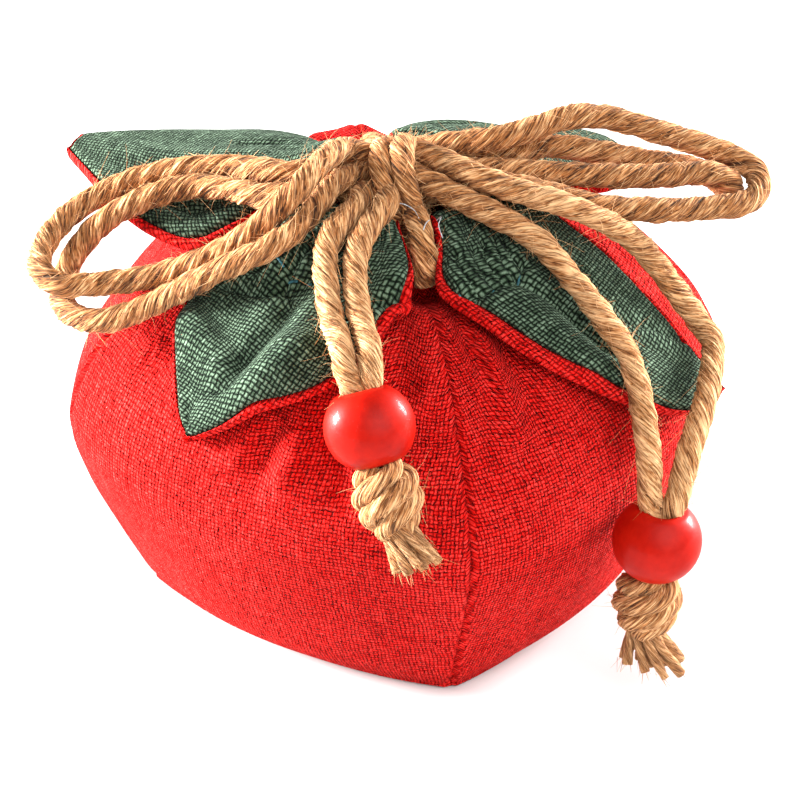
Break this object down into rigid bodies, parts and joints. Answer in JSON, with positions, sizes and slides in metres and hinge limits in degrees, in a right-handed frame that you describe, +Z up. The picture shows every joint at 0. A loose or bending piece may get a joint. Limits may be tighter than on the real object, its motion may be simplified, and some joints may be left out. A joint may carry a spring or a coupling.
{
  "type": "drawstring pouch",
  "caption": "Persimmon-shaped drawstring pouch of red linen with green leaf flaps round its gathered neck, a jute bow and beaded tassel ends.",
  "frame": {"origin": "on the floor under the middle of the neck, at the middle of the flat base", "axes": "+Z up through the neck, -Y towards the viewer of the picture, +X to the viewer's right"},
  "size_m": [0.1094, 0.1078, 0.0763],
  "materials": {
    "red_linen": "plain-weave red linen, matt",
    "green_linen": "plain-weave grey-green linen, matt",
    "jute": "laid jute cord with loose fibres",
    "red_lacquer": "glossy red lacquer"
  },
  "bodies": {
    "root": {"panel_front_left": "red_linen", "panel_front_right": "red_linen", "panel_back_left": "red_linen", "panel_back_right": "red_linen", "leaf_front_left_face": "green_linen", "leaf_front_left_back": "red_linen", "leaf_front_right_face": "green_linen", "leaf_front_right_back": "red_linen", "leaf_back_left_face": "green_linen", "leaf_back_left_back": "red_linen", "leaf_back_right_face": "green_linen", "leaf_back_right_back": "red_linen", "lead_front_a": "jute", "lead_front_b": "jute", "lead_back_a": "jute", "lead_back_b": "jute", "loop_left_a": "jute", "loop_left_b": "jute", "loop_right_a": "jute", "loop_right_b": "jute", "tail_left_a": "jute", "tail_left_b": "jute", "tail_right_a": "jute", "tail_right_b": "jute", "bow_knot": "jute", "bead_left": "red_lacquer", "bead_right": "red_lacquer", "knot_left": "jute", "knot_right": "jute", "tassel_left": "jute", "tassel_right": "jute"}
  },
  "joints": []
}
